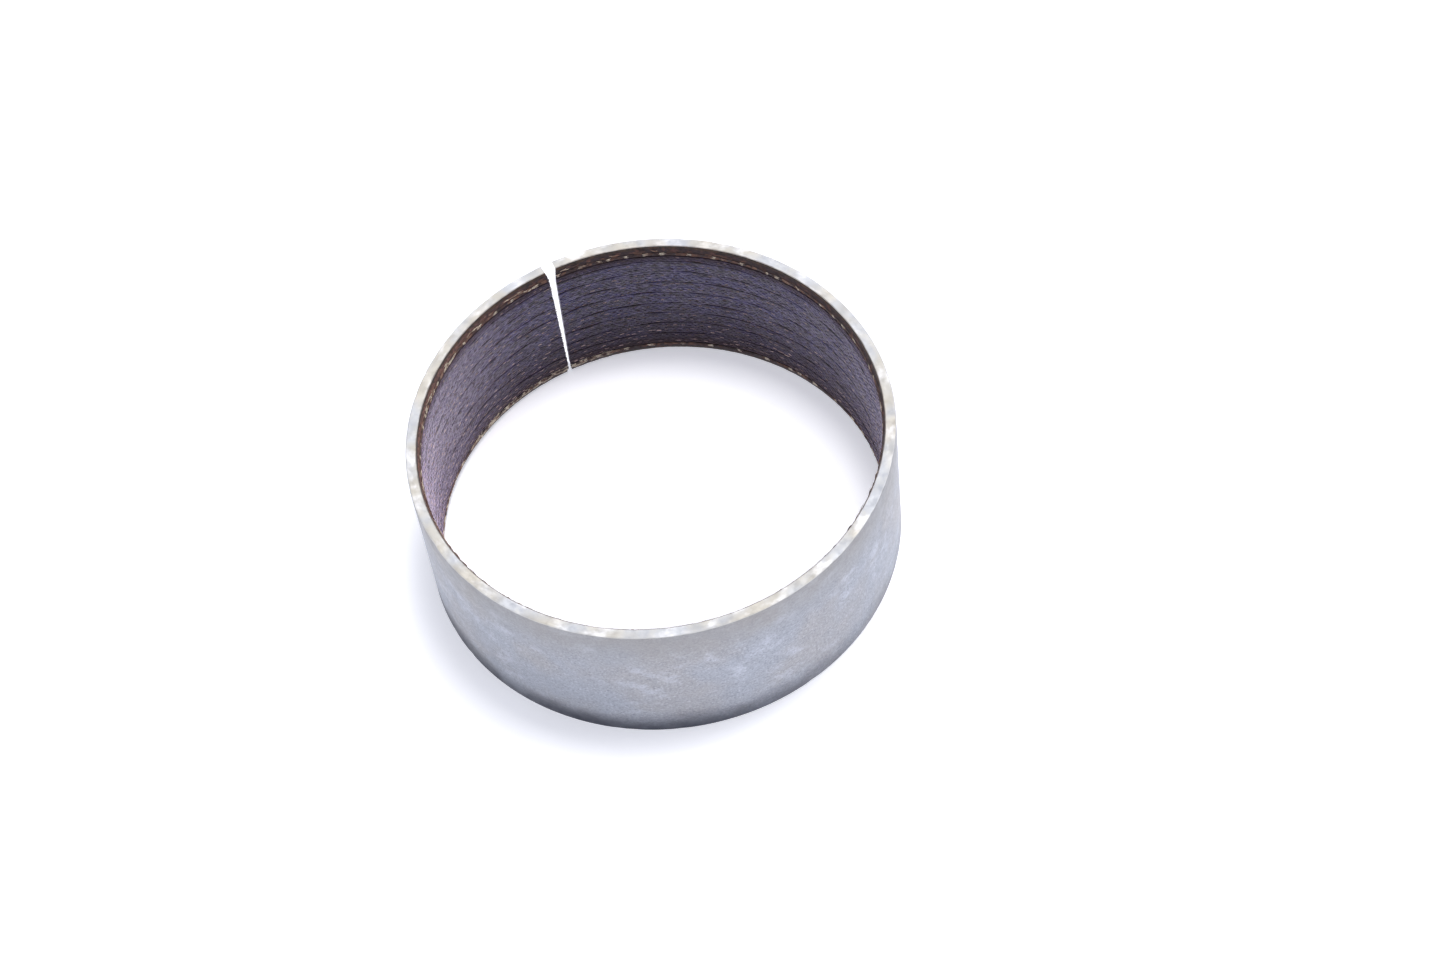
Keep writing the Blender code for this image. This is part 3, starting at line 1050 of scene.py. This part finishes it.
def build_stitches(dips_of_rows, draw):
    """The cloth's own yarns, which come up in the dips of each row."""
    bundle = Bundle()
    longest, shortest = STITCH_STRETCH
    for row, dips in enumerate(dips_of_rows):
        low, high = GROOVE_HEIGHTS[row], GROOVE_HEIGHTS[row + 1]
        share = low / LENGTH
        stretch = longest + (shortest - longest) * share
        for dip in dips:
            height = low + (high - low) * draw.uniform(*STITCH_PLACE)
            # On the worn side stitches fade less: wear, and painted sheen
            fading = share * (1.0 - STITCH_WORN_AND_SHEEN * wear_and_sheen_at(dip))
            shade = (1.0 - STITCH_FADE * fading) * draw.random() ** (1.0 + STITCH_RARITY * fading)
            if shade > STITCH_FAINTEST:
                add_stitch(bundle, dip, height, shade, stretch, draw)
    add_piece("cloth_stitches", bundle, stitch_yarn(), "ground_cloth")


def add_core(bundle, row, low, high):
    """The sunken strand that the dashes belong to."""
    middle = (low + high) / 2
    width = high - low
    radius = YARN_SEAT - CORE_RISE * YARN_THICKNESS
    path = [
        (along, radius, middle + CORE_SWAY * width * ripple(along, row, CORE_SWAY_SIZE))
        for along in stations(CORE_STEPS)
    ]
    half_depth = CORE_HALF_DEPTH * YARN_THICKNESS
    bundle.add_strand(path, CORE_HALF_WIDTH * width, half_depth, CORE_SHADE, taper=False)


def add_dash(bundle, along, low, high, length, shade, draw):
    """A few fibres side by side that come up together."""
    fibres = draw.randint(*FIBRES_PER_DASH)
    for i in range(fibres):
        radius = draw.uniform(*FIBRE_RADIUS)
        spread = DASH_FILL * (high - low - DASH_SIDE_ROOM * radius)
        aside = spread * ((i + 0.5) / fibres - 0.5)
        height = (low + high) / 2 + aside + radius * draw.uniform(-0.5, 0.5)
        reach = length * draw.uniform(*DASH_REACH)
        start = along + length * draw.uniform(-DASH_SHIFT, DASH_SHIFT)
        rise = YARN_THICKNESS * draw.uniform(*DASH_RISE)
        lean = radius * draw.uniform(-1.0, 1.0)
        path = arched_path(start, reach, height, rise, lean)
        tone = shade * draw.uniform(*FIBRE_TONE)
        bundle.add_strand(path, FIBRE_WIDENING * radius, FIBRE_FLATTENING * radius, tone)


def add_dashes(bundle, low, high, spacing, shades, draw):
    """Dashes along an edge yarn, closer together on the worn side."""
    along = draw.uniform(*spacing)
    while along < STRIP_LENGTH:
        length = draw.uniform(*DASH_LENGTH)
        add_dash(bundle, along, low, high, length, draw.uniform(*shades), draw)
        along = next_place(along, spacing, DASH_CROWDING, draw)


def build_edge_yarn(node, row, material, draw):
    _, _, low, high = ring_sizes(node)
    bundle = Bundle()
    add_core(bundle, row, low, high)
    add_dashes(bundle, low, high, SOAKED_SPACING, SOAKED_SHADE, draw)
    add_dashes(bundle, low, high, DRY_SPACING[node], DRY_SHADE, draw)
    add_piece("woven_" + node, bundle, material, "edge_yarn", node)


def add_tuft(bundle, along, low, high, count, slant, shade, draw):
    """A few loose fibres, each aslant by up to a share of its length."""
    for _ in range(draw.randint(*count)):
        length = draw.uniform(*FRAY_LENGTH)
        height = draw.uniform(low, high)
        rise = YARN_THICKNESS * draw.uniform(*FRAY_RISE)
        lean = length * slant * draw.uniform(-1.0, 1.0)
        middle = along + length * draw.uniform(-0.5, 0.5)
        path = arched_path(middle, length, height, rise, lean)
        tone = shade * draw.uniform(*FRAY_TONE)
        bundle.add_strand(path, FRAY_RADIUS, FRAY_FLATTENING * FRAY_RADIUS, tone)


def add_frayed_edge(bundle, start, step, reach, draw):
    """Tufts on the lower edge from one end of the strip, fainter the further they are from it."""
    low = CLOTH_LOW + FRAY_ABOVE_CLOTH_END
    high = ring_sizes("edge_yarn_lower")[3] - FRAY_BELOW_YARN_TOP
    near, far = FRAY_SHADE
    away = 0.0
    while away < reach:
        shade = near + (far - near) * away / reach
        add_tuft(bundle, start + step * away, low, high, FIBRES_PER_TUFT, FRAY_SLANT, shade, draw)
        away += draw.uniform(*TUFT_SPACING)


def add_bevel_tufts(bundle, draw):
    """Cut ends of yarn along the upper bevel, most of all on the worn side."""
    high = LENGTH - BEVEL_INNER_END
    low = high - SPARSE_DEPTH
    along = draw.uniform(*SPARSE_SPACING)
    while along < STRIP_LENGTH:
        shade = draw.uniform(*SPARSE_SHADE) * (SPARSE_UNWORN + SPARSE_WORN * wear_and_sheen_at(along))
        add_tuft(bundle, along, low, high, FIBRES_PER_SPARSE_TUFT, SPARSE_SLANT, shade, draw)
        along = next_place(along, SPARSE_SPACING, TUFT_CROWDING, draw)


def add_cut_end(bundle, draw):
    """Short fibres that stand out of the liner's cut end into the split."""
    for _ in range(CUT_END_COUNT):
        height = LENGTH * draw.uniform(*CUT_END_HEIGHT)
        radius = draw.uniform(BORE + FRAY_RADIUS, CLOTH_INNER)
        out = BORE * half_split(height) * draw.uniform(*CUT_END_REACH)
        turn = CUT_END_TURN * draw.uniform(-1.0, 1.0)
        path = [
            (CUT_END_ROOT, radius, height),
            (-0.5 * out, radius, height + turn),
            (-out, radius, height + 2 * turn),
        ]
        bundle.add_strand(path, CUT_END_RADIUS, CUT_END_RADIUS, draw.uniform(*CUT_END_SHADE))


def build_frayed_fibres(material, draw):
    """Loose fibres beside the split, along the upper bevel and out of the cut end."""
    bundle = Bundle()
    add_frayed_edge(bundle, 0.0, 1, FRAY_REACH[0], draw)
    add_frayed_edge(bundle, STRIP_LENGTH, -1, FRAY_REACH[1], draw)
    add_bevel_tufts(bundle, draw)
    add_cut_end(bundle, draw)
    add_piece("frayed_fibres", bundle, material, "edge_yarn")


def build_liner(draw):
    build_resin()
    build_cloth()
    yarn = surface_yarn()
    dips_of_rows = [build_surface_yarn(row, node, yarn, draw) for row, node in enumerate(SURFACE_YARNS)]
    build_stitches(dips_of_rows, draw)
    edge = edge_yarn()
    for i, node in enumerate(EDGE_YARNS):
        build_edge_yarn(node, CORE_ROW + i, edge, draw)
    build_frayed_fibres(edge, draw)


# Stage


def seen_directly(tree):
    """1 for camera, glossy and transmitted rays, 0 for the rays that light the object."""
    path = add_node(tree, "ShaderNodeLightPath")
    either = math_node(tree, "MAXIMUM", path.outputs["Is Camera Ray"], path.outputs["Is Glossy Ray"])
    return math_node(tree, "MAXIMUM", either, path.outputs["Is Transmission Ray"])


def white_floor():
    """Matt white that glows where it is seen, and keeps the object's shadow."""
    material, tree, shader = new_material("white_floor")
    set_values(shader, {"Base Color": (*FLOOR_COLOUR, 1.0), "Roughness": 1.0, "Specular IOR Level": 0.0})
    set_values(shader, {"Emission Color": (*FLOOR_GLOW_COLOUR, 1.0)})
    tree.links.new(product(tree, seen_directly(tree), FLOOR_GLOW), shader.inputs["Emission Strength"])
    return material


def build_floor():
    half = FLOOR_SIZE / 2
    corners = [(-half, -half), (half, -half), (half, half), (-half, half)]
    mesh = bpy.data.meshes.new("floor")
    mesh.from_pydata([(x, y, -FLOOR_DROP) for x, y in corners], [], [(0, 1, 2, 3)])
    mesh.materials.append(white_floor())
    floor = bpy.data.objects.new("floor", mesh)
    bpy.context.scene.collection.objects.link(floor)


def build_world():
    """A soft bluish sky that lights the object, and a white backdrop where it is seen."""
    world = bpy.data.worlds.new("studio")
    world.use_nodes = True
    tree = world.node_tree
    sky = tree.nodes["Background"]
    set_values(sky, {"Color": (*SKY_COLOUR, 1.0), "Strength": SKY_STRENGTH})
    white = {"Color": (1.0, 1.0, 1.0, 1.0), "Strength": 1.0}
    backdrop = add_node(tree, "ShaderNodeBackground", values=white)
    links = {0: seen_directly(tree), 1: sky.outputs["Background"], 2: backdrop.outputs["Background"]}
    either = add_node(tree, "ShaderNodeMixShader", links)
    tree.links.new(either.outputs["Shader"], tree.nodes["World Output"].inputs["Surface"])
    bpy.context.scene.world = world


def direction(azimuth, elevation):
    """Unit vector from the object towards a viewer: azimuth 0 stands at -Y and a quarter turn at +X."""
    flat = math.cos(elevation)
    return Vector((math.sin(azimuth) * flat, -math.cos(azimuth) * flat, math.sin(elevation)))


def add_softbox(name, azimuth, elevation, size, watts, colour):
    """A square area light that looks at the origin, placed by two angles in degrees."""
    light = bpy.data.lights.new(name, "AREA")
    light.size = size
    light.energy = watts
    light.color = colour
    lamp = bpy.data.objects.new(name, light)
    towards = direction(math.radians(azimuth), math.radians(elevation))
    lamp.location = towards * LAMP_DISTANCE
    lamp.rotation_euler = towards.to_track_quat("Z", "Y").to_euler()
    bpy.context.scene.collection.objects.link(lamp)


def build_lights():
    add_softbox("key_softbox", azimuth=118, elevation=79, size=0.24, watts=5.2, colour=(1.0, 0.98, 0.95))
    add_softbox("right_softbox", azimuth=84, elevation=36, size=0.8, watts=3.4, colour=(1.0, 0.99, 0.98))
    add_softbox("left_softbox", azimuth=-100, elevation=30, size=0.7, watts=1.2, colour=(0.97, 0.98, 1.0))


def build_camera():
    lens = bpy.data.cameras.new("camera")
    lens.lens = CAMERA_LENS
    lens.sensor_width = SENSOR_WIDTH
    lens.clip_start = CAMERA_CLIP_START
    camera = bpy.data.objects.new("camera", lens)
    back = direction(CAMERA_AZIMUTH, CAMERA_ELEVATION)
    level = Vector((math.cos(CAMERA_AZIMUTH), math.sin(CAMERA_AZIMUTH), 0.0))
    upright = back.cross(level)
    right = level * math.cos(CAMERA_ROLL) + upright * math.sin(CAMERA_ROLL)
    up = back.cross(right)
    rotation = Matrix((right, up, back)).transposed()
    camera.matrix_world = Matrix.LocRotScale(AIM_POINT + back * CAMERA_DISTANCE, rotation, None)
    bpy.context.scene.collection.objects.link(camera)
    bpy.context.scene.camera = camera


build_camera()
build_world()
build_lights()
build_floor()
build_backing(random.Random(SEED))
build_liner(random.Random(SEED + 1))
bpy.context.scene.view_settings.view_transform = "Standard"
